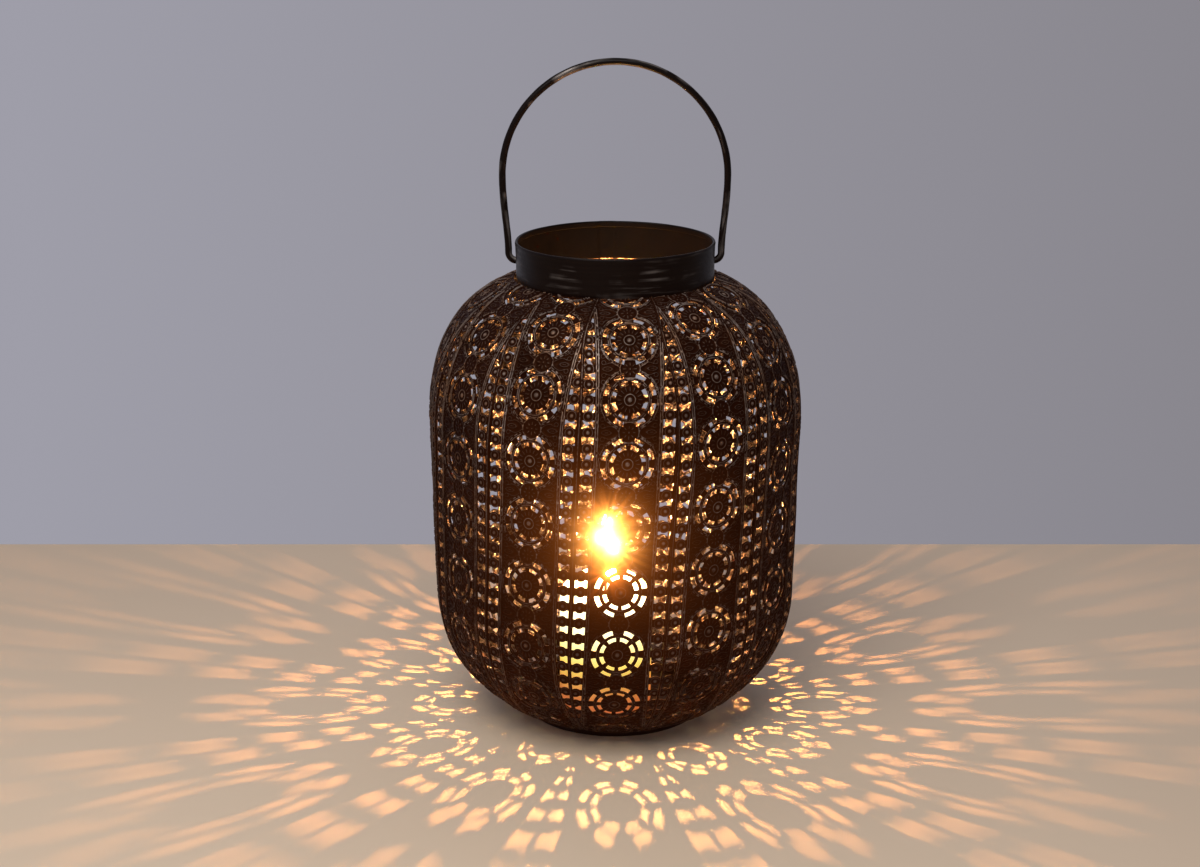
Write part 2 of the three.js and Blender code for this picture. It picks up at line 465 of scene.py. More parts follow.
def outline_loop(left_inset, right_inset, end_inset):
    count = int(outline.length / EDGE_STEP)
    s = np.linspace(end_inset, outline.length - end_inset, count)
    left, right = edge_offsets(s, left_inset, right_inset)
    top = np.linspace(right[-1], left[-1], END_POINTS + 2)[1:-1]
    bottom = np.linspace(left[0], right[0], END_POINTS + 2)[1:-1]
    return np.concatenate([
        np.column_stack([right, s]),
        np.column_stack([top, np.full(END_POINTS, s[-1])]),
        np.column_stack([left, s])[::-1],
        np.column_stack([bottom, np.full(END_POINTS, s[0])]),
    ])


def inside_edges(u, s, left_inset, right_inset, end_inset):
    left, right = edge_offsets(s, left_inset, right_inset)
    ends = (s > end_inset) & (s < outline.length - end_inset)
    return (u > left) & (u < right) & ends


def draw_gore(pattern):
    drawing = Drawing()
    drawing.add_loop(outline_loop(-LAP_WIDTH, RIGHT_EDGE_GAP, 0.0))
    drawing.add_loop(outline_loop(EDGE_LEFT_CLEAR, EDGE_RIGHT_CLEAR, END_CLEAR))
    for middle in pattern.medallions:
        draw_medallion(drawing, np.array([0.0, middle]))
    for middle in pattern.links:
        draw_link(drawing, np.array([0.0, middle]))
    for side in (-BEAD_COLUMN, BEAD_COLUMN):
        for middle in pattern.beads:
            draw_bead(drawing, np.array([side, middle]))
        for middle in pattern.bowties:
            drawing.add_loop(bowtie_loop(np.array([side, middle])))
    s = np.arange(RIB_START, outline.length, RIB_STEP)
    for line in RIB_LINES:
        for w in (-RIB_HALF, 0, RIB_HALF):
            for side in (-1, 1):
                drawing.add(np.column_stack([np.full(len(s), side * (line + w)), s]))
    for inset in LAP_LINES:
        drawing.add(np.column_stack([edge_offsets(s, inset, 0)[0], s]))
    columns = np.linspace(-GRID_HALF, GRID_HALF, GRID_COLUMNS)
    rows = np.arange(GRID_STEP / 2, outline.length, GRID_STEP)
    drawing.add([(across, along) for across in columns for along in rows])
    return drawing


# ---------------------------------------------------------------- pierced sheet to mesh


def cut_sheet(drawing, keep):
    """Triangulates a drawing along its edges and keeps the triangles whose middles pass keep."""
    points = [Vector(p) for p in np.concatenate(drawing.points)]
    made = delaunay_2d_cdt(points, drawing.edges, [], 0, MERGE_DISTANCE, False)
    flat = np.array([tuple(v) for v in made[0]])
    triangles = np.array([f for f in made[2]], int)
    middles = flat[triangles].mean(axis=1)
    first, second, third = (flat[triangles[:, corner]] for corner in range(3))
    area = np.cross(second - first, third - first)
    triangles = np.where((area < 0)[:, None], triangles[:, ::-1], triangles)
    triangles = triangles[keep(middles[:, 0], middles[:, 1]) & (np.abs(area) > LEAST_AREA)]
    used = np.unique(triangles)
    renumber = np.full(len(flat), -1)
    renumber[used] = np.arange(len(used))
    return flat[used], renumber[triangles]


def boundary_edges(triangles, count):
    """Directed edges that belong to one triangle only."""
    edges = np.concatenate([triangles[:, [0, 1]], triangles[:, [1, 2]], triangles[:, [2, 0]]])
    _, first, times = np.unique(edge_keys(edges, count), return_index=True, return_counts=True)
    return edges[first[times == 1]]


def edge_keys(pairs, count):
    pairs = np.asarray(pairs, np.int64)
    return pairs.min(axis=1) * count + pairs.max(axis=1)


def make_mesh(name, vertices, faces, materials, indices=None, attributes=None, sharp=None, crease=None):
    """A smooth-shaded mesh object of triangles or of quads."""
    faces = np.asarray(faces, np.int32)
    mesh = bpy.data.meshes.new(name)
    mesh.vertices.add(len(vertices))
    mesh.vertices.foreach_set("co", np.asarray(vertices, np.float32).ravel())
    mesh.loops.add(faces.size)
    mesh.loops.foreach_set("vertex_index", faces.ravel())
    mesh.polygons.add(len(faces))
    mesh.polygons.foreach_set("loop_start", np.arange(len(faces), dtype=np.int32) * faces.shape[1])
    for material in materials:
        mesh.materials.append(material)
    if indices is not None:
        mesh.polygons.foreach_set("material_index", np.asarray(indices, np.int32))
    mesh.update(calc_edges=True)
    mesh.shade_smooth()
    for label, values in (attributes or {}).items():
        values = np.asarray(values, np.float32)
        kind, key = ("FLOAT", "value") if values.ndim == 1 else ("FLOAT_VECTOR", "vector")
        attribute = mesh.attributes.new(label, kind, "POINT")
        attribute.data.foreach_set(key, values.ravel())
    if sharp is not None:
        pairs = np.zeros(len(mesh.edges) * 2, np.int32)
        mesh.edges.foreach_get("vertices", pairs)
        keys = edge_keys(pairs.reshape(-1, 2), len(vertices))
        marks = mesh.attributes.new("sharp_edge", "BOOLEAN", "EDGE")
        marks.data.foreach_set("value", np.isin(keys, edge_keys(sharp, len(vertices))))
    if crease is not None:
        mesh.set_sharp_from_angle(angle=crease)
    mesh.validate()
    piece = bpy.data.objects.new(name, mesh)
    bpy.context.scene.collection.objects.link(piece)
    return piece


def gore_piece(name, pattern, middle_turn, materials):
    def keep(u, s):
        sheet = inside_edges(u, s, -LAP_WIDTH, RIGHT_EDGE_GAP, 0.0)
        clear = inside_edges(u, s, EDGE_LEFT_CLEAR, EDGE_RIGHT_CLEAR, END_CLEAR)
        return sheet & ~(pattern.in_hole(u, s) & clear)

    flat, triangles = cut_sheet(draw_gore(pattern), keep)
    u, s = flat.T
    left, right = edge_offsets(s, 0, 0)
    from_left = u - left
    fade_left = np.clip((from_left - RELIEF_LEFT_CLEAR) / RELIEF_FADE, 0, 1)
    fade_right = np.clip((right - u - RELIEF_RIGHT_CLEAR) / RELIEF_FADE, 0, 1)
    height = pattern.relief(u, s) * fade_left * fade_right
    # The relief attribute: share of full relief, and a line along the lap. The lacquer paints bronze there,
    # partly an antique rub and partly a painted highlight.
    seam_line = ridge(from_left - LAP_LINE, LAP_LINE_HALF, 1.0)
    shine = np.clip(np.maximum(height, LAP_LINE_SHINE * seam_line) / FULL_RELIEF, 0, 1)
    lap = np.clip((LAP_SLOPE_END - from_left) / (LAP_SLOPE_END - LAP_SLOPE_START), 0, 1)
    lift = LAP_LIFT * lap * lap * (3 - 2 * lap) + LAP_LINE_HEIGHT * seam_line
    height = np.maximum(height, lift)
    outer = outline.place(u, s, height, middle_turn)
    inner = outline.place(u, s, height - SHEET, middle_turn)
    count = len(flat)
    rim = boundary_edges(triangles, count)
    a, b = rim.T
    walls = np.concatenate([np.column_stack([b, a, a + count]), np.column_stack([b, a + count, b + count])])
    faces = np.concatenate([triangles, triangles[:, ::-1] + count, walls])
    indices = np.repeat([0, 1, 2], [len(triangles), len(triangles), len(walls)])
    relief = np.concatenate([shine, np.zeros(count)])
    sharp = np.concatenate([rim, rim + count])
    vertices = np.concatenate([outer, inner])
    return make_mesh(name, vertices, faces, materials, indices, {"relief": relief}, sharp)


# ---------------------------------------------------------------- materials


def new_material(name):
    material = bpy.data.materials.new(name)
    material.use_nodes = True
    tree = material.node_tree
    return material, tree, tree.nodes["Principled BSDF"]


def give(tree, socket, value):
    """Links the socket to another node's output, or sets it to a constant."""
    if isinstance(value, bpy.types.NodeSocket):
        tree.links.new(value, socket)
    elif socket.type == "RGBA":
        socket.default_value = (*value, 1)
    else:
        socket.default_value = value


def dress(tree, shader, sockets):
    for name, value in sockets.items():
        give(tree, shader.inputs[name], value)


def object_place(tree):
    return tree.nodes.new("ShaderNodeTexCoord").outputs["Object"]


def noise(tree, scale, detail, where=None):
    """Noise on the piece's own coordinates, or on those given, in patterns per metre."""
    texture = tree.nodes.new("ShaderNodeTexNoise")
    dress(tree, texture, {
        "Vector": object_place(tree) if where is None else where,
        "Scale": scale,
        "Detail": detail,
        "Roughness": NOISE_ROUGHNESS if where is None else WRAP_ROUGHNESS,
    })
    return texture.outputs["Fac"]


def wrapped(tree, scales):
    """The wrapped coordinates of a band or wire, stretched along it."""
    wrap = tree.nodes.new("ShaderNodeAttribute")
    wrap.attribute_name = "wrap"
    stretch = tree.nodes.new("ShaderNodeMapping")
    dress(tree, stretch, {"Vector": wrap.outputs["Vector"], "Scale": scales})
    return stretch.outputs["Vector"]


def remap(tree, source, start, end, least=0.0, most=1.0):
    node = tree.nodes.new("ShaderNodeMapRange")
    dress(tree, node, {"Value": source, "From Min": start, "From Max": end, "To Min": least, "To Max": most})
    return node.outputs["Result"]


def math_node(tree, operation, first, second):
    node = tree.nodes.new("ShaderNodeMath")
    node.operation = operation
    give(tree, node.inputs[0], first)
    give(tree, node.inputs[1], second)
    return node.outputs["Value"]


def multiply(tree, *factors):
    product = factors[0]
    for factor in factors[1:]:
        product = math_node(tree, "MULTIPLY", product, factor)
    return product


def mix_colour(tree, factor, first, second):
    node = tree.nodes.new("ShaderNodeMix")
    node.data_type = "RGBA"
    dress(tree, node, {"Factor": factor, "A": first, "B": second})
    return node.outputs["Result"]


def bump(tree, source, distance, strength):
    node = tree.nodes.new("ShaderNodeBump")
    dress(tree, node, {"Height": source, "Distance": distance, "Strength": strength})
    return node.outputs["Normal"]


def height_share(tree, low, high):
    """0 at the height low, 1 at the height high."""
    split = tree.nodes.new("ShaderNodeSeparateXYZ")
    give(tree, split.inputs["Vector"], object_place(tree))
    return remap(tree, split.outputs["Z"], low * MM, high * MM)


def colour_ramp(tree, factor, stops):
    ramp = tree.nodes.new("ShaderNodeValToRGB")
    give(tree, ramp.inputs["Fac"], factor)
    elements = ramp.color_ramp.elements
    for element, (position, colour) in zip(elements, (stops[0], stops[-1])):
        element.position = position
        element.color = (*colour, 1)
    for position, colour in stops[1:-1]:
        elements.new(position).color = (*colour, 1)
    return ramp.outputs["Color"]


NOISE_ROUGHNESS = 0.6
WRAP_ROUGHNESS = 0.5
MAHOGANY = (0.0075, 0.0018, 0.0007)
MAHOGANY_WARM = (0.018, 0.0048, 0.0018)
MAHOGANY_GLOSS = 0.06
MAHOGANY_SHEEN = (1.0, 0.42, 0.2)
BLACK = (0.0028, 0.0012, 0.0009)
BLACK_WARM = (0.0055, 0.0028, 0.0021)
BLACK_GLOSS = 0.1
SOOT = (0.0015, 0.0006, 0.0002)
SOOT_WARM = (0.0032, 0.0012, 0.0004)
BRONZE = (0.40, 0.32, 0.275)
COPPER = (0.36, 0.215, 0.14)
GREY_BRONZE = (0.33, 0.29, 0.27)
LINING_GLINT = (0.105, 0.094, 0.094)
INSIDE_DARK = (0.010, 0.0055, 0.0038)
WAX = (0.62, 0.48, 0.30)
WAX_PALE = (0.72, 0.58, 0.38)
CHAR = (0.01, 0.008, 0.007)
FIBRE = (0.07, 0.05, 0.035)
EMBER = (1.0, 0.22, 0.03)

# Painted light from above: the bronze on the raised lines is painted brightest at the shoulder and dimmest
# at the foot
PAINTED_TOP_LIGHT_LOW = 110.0
PAINTED_TOP_LIGHT_HIGH = 225.0

# How far the noise of the brushed streaks is stretched along, across and out
BAND_BRUSH = (0.3, 5.0, 1.0)
WIRE_BRUSH = (0.3, 2.0, 2.0)
FIBRE_BRUSH = (1.0, 4.0, 4.0)

# Colours of the painted glow up the candle and of the glow up the flame, at shares of their height
WAX_GLOW = (
    (0.03, (1.0, 0.18, 0.03)),
    (0.15, (1.0, 0.25, 0.035)),
    (0.30, (1.0, 0.48, 0.06)),
    (0.44, (1.0, 0.78, 0.14)),
    (0.58, (1.0, 0.84, 0.32)),
    (0.72, (1.0, 0.86, 0.48)),
    (1.0, (1.0, 0.84, 0.52)),
)
FLAME_GLOW = (
    (0.0, (0.35, 0.12, 0.05)),
    (0.25, (0.8, 0.45, 0.16)),
    (0.4, (1.0, 0.74, 0.36)),
    (0.7, (1.0, 0.80, 0.45)),
    (1.0, (1.0, 0.50, 0.14)),
)


def stamped_lacquer():
    """Black-brown lacquer; bronze on the raised lines, partly an antique rub and partly a painted highlight.
    """
    material, tree, shader = new_material("stamped_lacquer")
    relief = tree.nodes.new("ShaderNodeAttribute")
    relief.attribute_name = "relief"
    clouds = noise(tree, scale=26, detail=4)
    specks = noise(tree, scale=420, detail=3)
    stains = noise(tree, scale=60, detail=2)
    raised = remap(tree, relief.outputs["Fac"], start=0.42, end=0.9)
    patches = remap(tree, clouds, start=0.3, end=0.72, least=0.35)
    breaks = remap(tree, specks, start=0.32, end=0.55, least=0.3)
    # painted light from above: the bronze mask grows from 0.3 at the foot to 0.9 at the shoulder
    painted_top_light = remap(tree, height_share(tree, PAINTED_TOP_LIGHT_LOW, PAINTED_TOP_LIGHT_HIGH), start=0, end=1, least=0.3, most=0.9)
    # The bronze mask: raised lines, in patches, broken by specks, brighter up the body. It is partly a real
    # rub and partly painted highlight and glints, with painted light from above.
    rubbed = multiply(tree, raised, patches, breaks, painted_top_light)
    base = mix_colour(tree, remap(tree, clouds, start=0.35, end=0.7), MAHOGANY, MAHOGANY_WARM)
    metal = mix_colour(tree, remap(tree, stains, start=0.4, end=0.65), BRONZE, COPPER)
    dress(tree, shader, {
        "Base Color": mix_colour(tree, rubbed, base, metal),
        "Metallic": remap(tree, rubbed, start=0, end=1, least=0.1, most=0.95),
        "Specular IOR Level": MAHOGANY_GLOSS,
        "Specular Tint": MAHOGANY_SHEEN,
        "Roughness": remap(tree, specks, start=0.3, end=0.7, least=0.34, most=0.52),
        "Normal": bump(tree, specks, distance=0.00012, strength=0.5),
    })
    return material


def glinting_metal(name, light, dark):
    """Unpainted metal on the inside of the sheet and in the cut edges, mottled in patches of its light and
    dark colours that are painted glints.
    """
    material, tree, shader = new_material(name)
    stains = noise(tree, scale=230, detail=3)
    specks = noise(tree, scale=380, detail=3)
    dents = noise(tree, scale=160, detail=3)
    dress(tree, shader, {
        # painted glints: the light colour in small patches over the dark
        "Base Color": mix_colour(tree, remap(tree, stains, start=0.42, end=0.62), dark, light),
        "Metallic": 0.9,
        "Roughness": remap(tree, specks, start=0.3, end=0.7, least=0.24, most=0.42),
        "Normal": bump(tree, dents, distance=0.0012, strength=0.8),
    })
    return material


def brushed_lacquer(name, scales, amount):
    """Black satin lacquer with dry-brushed bronze streaks."""
    material, tree, shader = new_material(name)
    streaks = noise(tree, scale=90, detail=5, where=wrapped(tree, scales))
    patches = noise(tree, scale=30, detail=3)
    specks = noise(tree, scale=700, detail=2)
    brushed = remap(tree, streaks, start=0.5, end=0.68)
    where = remap(tree, patches, start=0.46, end=0.64, most=amount)
    rubbed = multiply(tree, brushed, where)
    base = mix_colour(tree, remap(tree, streaks, start=0.3, end=0.7), BLACK, BLACK_WARM)
    dress(tree, shader, {
        "Base Color": mix_colour(tree, rubbed, base, GREY_BRONZE),
        "Metallic": remap(tree, rubbed, start=0, end=1, least=0.05, most=0.85),
        "Specular IOR Level": BLACK_GLOSS,
        "Roughness": remap(tree, specks, start=0.3, end=0.7, least=0.28, most=0.42),
        "Normal": bump(tree, streaks, distance=0.00015, strength=0.35),
    })
    return material


def inside_lacquer():
    """Dull sooty lacquer on the inside of the collar."""
    material, tree, shader = new_material("dark_inside")
    patches = noise(tree, scale=60, detail=4)
    dress(tree, shader, {
        "Base Color": mix_colour(tree, remap(tree, patches, start=0.35, end=0.65), SOOT, SOOT_WARM),
        "Specular IOR Level": BLACK_GLOSS,
        "Roughness": remap(tree, patches, start=0.3, end=0.7, least=0.6, most=0.8),
    })
    return material


def glowing_wax():
    """Translucent wax with a painted glow: emission brightest and palest near the top, where its flame
    shines into it.
    """
    material, tree, shader = new_material("wax_painted_glow")
    patches = noise(tree, scale=40, detail=3)
    height = height_share(tree, 0, CANDLE_TOP)
    steep = math_node(tree, "POWER", height, 2.0)
    dress(tree, shader, {
        "Base Color": mix_colour(tree, remap(tree, patches, start=0.3, end=0.7), WAX, WAX_PALE),
        "Emission Color": colour_ramp(tree, height, WAX_GLOW),
        # painted glow: emission colour and strength rise up the candle towards the flame
        "Emission Strength": remap(tree, steep, start=0, end=1, least=0.4, most=3.0),
        "Roughness": 0.42,
        "Subsurface Weight": 0.35,
        "Subsurface Radius": (1.0, 0.5, 0.2),
        "Subsurface Scale": 0.008,
    })
    return material


def charred_fibre():
    """Charred cotton, its tip glowing."""
    material, tree, shader = new_material("charred_wick")
    fibres = noise(tree, scale=300, detail=3, where=wrapped(tree, FIBRE_BRUSH))
    tip = height_share(tree, WICK_LOW + EMBER_START, WICK_LOW + WICK_HEIGHT)
    dress(tree, shader, {
        "Base Color": mix_colour(tree, remap(tree, fibres, start=0.35, end=0.65), CHAR, FIBRE),
        "Emission Color": EMBER,
        "Emission Strength": multiply(tree, tip, 4.0),
        "Roughness": 0.9,
    })
    return material


def flame_glow():
    """Flame: dark orange at its foot, yellow-white in the middle, orange at the tip."""
    material, tree, shader = new_material("flame")
    height = height_share(tree, FLAME_LOW, FLAME_LOW + FLAME_HEIGHT)
    flicker = noise(tree, scale=120, detail=2)
    dress(tree, shader, {
        "Base Color": (0, 0, 0),
        "Emission Color": colour_ramp(tree, height, FLAME_GLOW),
        "Emission Strength": remap(tree, flicker, start=0.3, end=0.7, least=900, most=1200),
    })
    return material


# ---------------------------------------------------------------- turned pieces

CREASE = math.radians(38)
COLLAR_RADIUS = 55.9
COLLAR_LOW = 255.4
COLLAR_TOP = 277.5
COLLAR_TAPER = 0.6
COLLAR_ROWS = 14
COLLAR_EDGE = 0.4
COLLAR_EDGE_ROUND = 0.25
BAND = 0.8
HEM_WIDTH = 3.4
HEM_ROUND = 0.75
HEM_INNER = COLLAR_RADIUS - 2 * BAND
HEM_BULGE = 0.12
HEM_EDGE = 0.3
PIVOT_HEIGHT = 265.8
PIVOT_HOLE = 2.5
PIVOT_DIMPLE = 0.35
PIVOT_DIMPLE_REACH = 3.4
DRILL_LENGTH = 80.0
DRILL_SIDES = 32

# The lap seam at the back: a step with two spot welds beside it
LAP_STEP = 0.45
LAP_TURN = math.radians(9.5)
LAP_SHARPNESS = 14
WELD_TURN = math.radians(5)
WELD_HALF_TURN = 0.02
WELD_HALF_HEIGHT = 1.6
WELD_INSET = 6.0
WELD_DEPTH = 0.2
RIM_WAVE = 0.16


def polar_mesh(name, profile, segments, materials, move, wrap_radius, slots=None):
    """A closed profile of (radius, z) turned about the axis, with move(turn, radius, z) shaping it.

    The turn is counted from the back. The slots give each face of the profile its material.
    """
    seam = math.pi / 2
    profile = np.asarray(profile, float)
    n = len(profile)
    around = seam + np.arange(segments) * FULL_TURN / segments
    turn = np.repeat(around, n)
    radius = np.tile(profile[:, 0], segments)
    z = np.tile(profile[:, 1], segments)
    radius, z = move(turn - seam, radius, z)
    vertices = np.column_stack([radius * np.cos(turn), radius * np.sin(turn), z]) * MM
    i = np.repeat(np.arange(segments), n)
    j = np.tile(np.arange(n), segments)
    after = (j + 1) % n
    beside = (i + 1) % segments
    faces = np.column_stack([i * n + j, beside * n + j, beside * n + after, i * n + after])
    indices = None if slots is None else np.tile(slots, segments)
    piece = make_mesh(name, vertices, faces, materials, indices, crease=CREASE)
    unroll(piece, wrap_radius)
    return piece


def unroll(piece, wrap_radius):
    """Stores, for the brushed finish, how far round, how high and how far out each vertex is."""
    mesh = piece.data
    places = np.zeros(len(mesh.vertices) * 3, np.float32)
    mesh.vertices.foreach_get("co", places)
    x, y, z = places.reshape(-1, 3).T
    turn = np.arctan2(-x, y) % FULL_TURN
    wrap = np.column_stack([turn * wrap_radius * MM, z, np.hypot(x, y)])
    attribute = mesh.attributes.get("wrap") or mesh.attributes.new("wrap", "FLOAT_VECTOR", "POINT")
    attribute.data.foreach_set("vector", wrap.astype(np.float32).ravel())


def round_corner(centre, radius, start, end, steps=5):
    turns = np.radians(np.linspace(start, end, steps))
    return [(centre[0] + radius * math.cos(t), centre[1] + radius * math.sin(t)) for t in turns]


def lap_step(turn, lap_turn, sharpness):
    """1 on the overlapping end of a rolled band and 0 beyond it."""
    return np.clip((1 - turn / lap_turn) * sharpness, 0, 1)


def collar_profile():
    outer_rows = np.linspace(COLLAR_LOW + COLLAR_EDGE, COLLAR_TOP - 2 * BAND, COLLAR_ROWS)
    inner_rows = np.linspace(COLLAR_TOP - HEM_WIDTH, COLLAR_LOW + COLLAR_EDGE, COLLAR_ROWS)
    inner_radius = COLLAR_RADIUS - BAND
    hem_height = COLLAR_TOP - HEM_ROUND
    return [
        *((COLLAR_RADIUS, z) for z in outer_rows),
        (COLLAR_RADIUS + HEM_BULGE, COLLAR_TOP - 1.1),
        *round_corner((COLLAR_RADIUS - HEM_ROUND, hem_height), HEM_ROUND, 0, 90),
        *round_corner((HEM_INNER + HEM_ROUND, hem_height), HEM_ROUND, 90, 180),
        (HEM_INNER, COLLAR_TOP - 2.0),
        (HEM_INNER, COLLAR_TOP - HEM_WIDTH + HEM_EDGE),
        (HEM_INNER + HEM_EDGE, COLLAR_TOP - HEM_WIDTH),
        *((inner_radius, z) for z in inner_rows),
        (inner_radius + COLLAR_EDGE_ROUND, COLLAR_LOW),
        (COLLAR_RADIUS - COLLAR_EDGE_ROUND, COLLAR_LOW),
    ]


def collar_shape(turn, radius, z):
    """Hand-rolled unevenness, the lap seam at the back and the dimples round the two holes."""
    low = (COLLAR_TOP - z) / (COLLAR_TOP - COLLAR_LOW)
    radius = radius - COLLAR_TAPER * low + waves(COLLAR_WAVES, turn, z)
    radius = radius + LAP_STEP * lap_step(turn, LAP_TURN, LAP_SHARPNESS)
    from_seam = np.minimum(turn, FULL_TURN - turn)
    for level in (COLLAR_TOP - WELD_INSET, COLLAR_LOW + WELD_INSET):
        weld = bell(from_seam, WELD_TURN, WELD_HALF_TURN) * bell(z, level, WELD_HALF_HEIGHT)
        radius = radius - WELD_DEPTH * weld
    side = np.abs(np.abs(turn - math.pi) - math.pi / 2) * COLLAR_RADIUS
    dimple = np.exp(-(side**2 + (z - PIVOT_HEIGHT) ** 2) / (2 * PIVOT_DIMPLE_REACH**2))
    rim = RIM_WAVE * np.sin(2 * turn + 1.1) * np.clip(1 - low * 2, 0, 1)
    return radius - PIVOT_DIMPLE * dimple, z + rim


def drill(piece, radius, height, length):
    """Cuts a round hole along X through the piece."""
    n = DRILL_SIDES
    ring = circle_points((0.0, height), radius, n)
    ends = [np.column_stack([np.full(n, x), ring]) for x in (-length, length)]
    vertices = np.concatenate(ends + [[(-length, 0, height), (length, 0, height)]]) * MM
    i = np.arange(n)
    j = (i + 1) % n
    faces = np.concatenate([
        np.column_stack([i, i + n, j + n]),
        np.column_stack([i, j + n, j]),
        np.column_stack([i, j, np.full(n, 2 * n)]),
        np.column_stack([j + n, i + n, np.full(n, 2 * n + 1)]),
    ])
    tool = make_mesh("drill", vertices, faces, ())
    cut = piece.modifiers.new("holes", "BOOLEAN")
    cut.operation = "DIFFERENCE"
    cut.object = tool
    cut.solver = "EXACT"
    bpy.context.view_layer.update()
    evaluated = piece.evaluated_get(bpy.context.evaluated_depsgraph_get())
    mesh = bpy.data.meshes.new_from_object(evaluated)
    piece.modifiers.clear()
    piece.data = mesh
    bpy.data.objects.remove(tool)


FOOT_RADIUS = 51.7
FOOT_HEIGHT = 7.0
FOOT_LIP = 5.0
FOOT_LAP_STEP = 0.3
FOOT_LAP_REACH = 0.7
FOOT_LAP_TURN = math.radians(8)
FOOT_LAP_SHARPNESS = 12
FOOT_ROWS = 8
PLATE_LOW = 1.5
PLATE_RADIUS = 50.6
PLATE_SHEET = 0.75
PLATE_ROWS = 70

# Stamped rings of the floor plate: one stands round the candle, one stiffens the rim
PLATE_RINGS = ((37.0, 2.0, 1.1), (45.0, 2.4, 0.7))


def foot_profile():
    """Upright wall, barrelled a little, on a lip that is turned in."""
    rows = np.linspace(1.2, FOOT_HEIGHT - 0.2, FOOT_ROWS)
    lip = FOOT_RADIUS - FOOT_LIP
    inner = FOOT_RADIUS - BAND
    return [
        (lip, 0.3),
        (lip + 0.3, 0.0),
        *round_corner((FOOT_RADIUS - 1.2, 1.0), 1.0, -90, -10),
        *((FOOT_RADIUS - 0.05 - 0.5 * (z / FOOT_HEIGHT - 0.5) ** 2, z) for z in rows),
        (FOOT_RADIUS - 0.4, FOOT_HEIGHT),
        (inner, FOOT_HEIGHT - 0.2),
        (inner, 2.0),
        (inner - 0.6, 1.3),
        (lip + 0.3, 1.15),
        (lip, 0.9),
    ]


def foot_shape(turn, radius, z):
    radius = radius + waves(FOOT_WAVES, turn, z)
    outer = radius > FOOT_RADIUS - FOOT_LAP_REACH
    return radius + FOOT_LAP_STEP * lap_step(turn, FOOT_LAP_TURN, FOOT_LAP_SHARPNESS) * outer, z


def plate_profile():
    radii = np.concatenate([[0.01], np.linspace(2, PLATE_RADIUS - 0.4, PLATE_ROWS)])
    rise = sum(ridge(radii - middle, half, height) for middle, half, height in PLATE_RINGS)
    low = PLATE_LOW + rise
    edge = [(PLATE_RADIUS, PLATE_LOW + 0.2), (PLATE_RADIUS, PLATE_LOW + 0.55)]
    return [*zip(radii, low), *edge, *zip(radii[::-1], low[::-1] + PLATE_SHEET)]


def plate_shape(turn, radius, z):
    return radius, z


# ---------------------------------------------------------------- wire bail

WIRE_RADIUS = 1.95
WIRE_SIDES = 16
WIRE_CREASE = math.radians(50)
BAIL_RADIUS = 62.3
BAIL_ARCH_BASE = 313.6
BAIL_FOOT_X = 59.3
BAIL_BEND = 4.5
BAIL_STUB_END = 50.7
BAIL_PULL_LOW = 0.3
BAIL_PULL_HIGH = 0.4
BAIL_LENGTH = 330
BAIL_LEAN = 0.35
BAIL_SAG = 0.25
HAMMER_DEPTH = 0.012
WRAP_SPREAD = 3


def bezier(points, count):
    t = np.linspace(0, 1, count)[:, None]
    a, b, c, d = (np.array(p) for p in points)
    return a * (1 - t) ** 3 + 3 * b * t * (1 - t) ** 2 + 3 * c * t**2 * (1 - t) + d * t**3


def bail_line():
    """Middle line of the right half of the bail (x, z), from its turned-in end to the top."""
    bend_top = PIVOT_HEIGHT + BAIL_BEND
    bend_x = BAIL_FOOT_X - BAIL_BEND
    rise = BAIL_ARCH_BASE - bend_top
    stub = [(x, PIVOT_HEIGHT) for x in np.linspace(BAIL_STUB_END, bend_x, 10)]
    bend = round_corner((bend_x, bend_top), BAIL_BEND, -90, 0, 16)
    leg = bezier((
        (BAIL_FOOT_X, bend_top),
        (BAIL_FOOT_X, bend_top + BAIL_PULL_LOW * rise),
        (BAIL_RADIUS, BAIL_ARCH_BASE - BAIL_PULL_HIGH * rise),
        (BAIL_RADIUS, BAIL_ARCH_BASE),
    ), 60)
    arch = round_corner((0, BAIL_ARCH_BASE), BAIL_RADIUS, 0, 90, 120)
    return np.array([*stub[:-1], *bend[:-1], *leg[:-1], *arch])


def sweep(name, path, radii, sides, materials):
    """A round bar along a path of points (mm), closed at both ends."""
    tangent = np.gradient(path, axis=0)
    tangent /= np.linalg.norm(tangent, axis=1)[:, None]
    across = np.cross(tangent, (0.0, 1.0, 0.0))
    across /= np.linalg.norm(across, axis=1)[:, None]
    beside = np.cross(across, tangent)
    turns = np.arange(sides) * FULL_TURN / sides
    cosines = np.cos(turns)
    sines = np.sin(turns)
    ring = cosines[None, :, None] * across[:, None] + sines[None, :, None] * beside[:, None]
    vertices = (path[:, None] + ring * np.asarray(radii)[:, None, None]).reshape(-1, 3)
    rows = len(path)
    i = np.repeat(np.arange(rows - 1), sides) * sides
    j = np.tile(np.arange(sides), rows - 1)
    after = (j + 1) % sides
    k = np.arange(sides)
    k_after = (k + 1) % sides
    last = (rows - 1) * sides
    faces = np.concatenate([
        np.column_stack([i + j, i + after, i + sides + after]),
        np.column_stack([i + j, i + sides + after, i + sides + j]),
        np.column_stack([k_after, k, np.full(sides, rows * sides)]),
        np.column_stack([last + k, last + k_after, np.full(sides, rows * sides + 1)]),
    ])
    vertices = np.concatenate([vertices, path[:1], path[-1:]])
    length = np.concatenate([[0], np.cumsum(np.linalg.norm(np.diff(path, axis=0), axis=1))])
    spread = WRAP_SPREAD * np.column_stack([cosines, sines])
    wrap = np.column_stack([np.repeat(length, sides), np.tile(spread, (rows, 1))])
    wrap = np.concatenate([wrap, wrap[:1], wrap[-1:]]) * MM
    return make_mesh(name, vertices * MM, faces, materials, attributes={"wrap": wrap}, crease=WIRE_CREASE)


